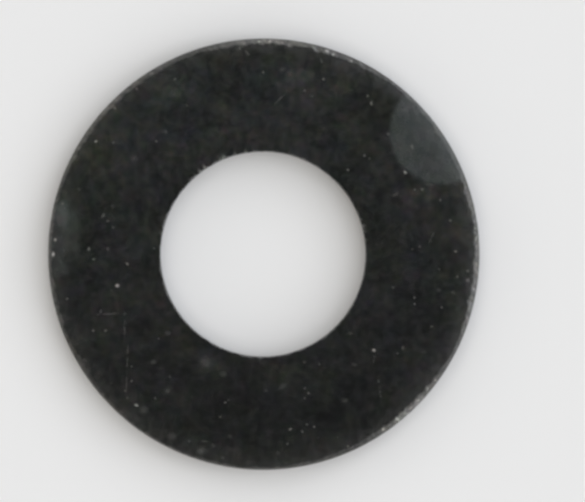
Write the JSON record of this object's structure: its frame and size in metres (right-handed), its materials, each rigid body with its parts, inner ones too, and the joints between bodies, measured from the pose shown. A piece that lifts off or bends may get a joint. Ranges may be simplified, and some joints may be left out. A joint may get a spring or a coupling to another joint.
{
  "type": "flat washer",
  "caption": "Plain round flat washer for an M4 screw, stamped from thin steel with a black finish: rolled rim on the upper face, plain clearance bore.",
  "frame": {"origin": "where the bore's axis meets the plane of the underside, so the washer lies on z = 0", "axes": "+Z along the bore's axis, out of the face with the rolled rim; X and Y lie across the ring, which is round about Z"},
  "size_m": [0.009, 0.009, 0.0008],
  "materials": {
    "black_steel": "satin"
  },
  "bodies": {
    "root": {"washer": "black_steel"}
  },
  "joints": []
}
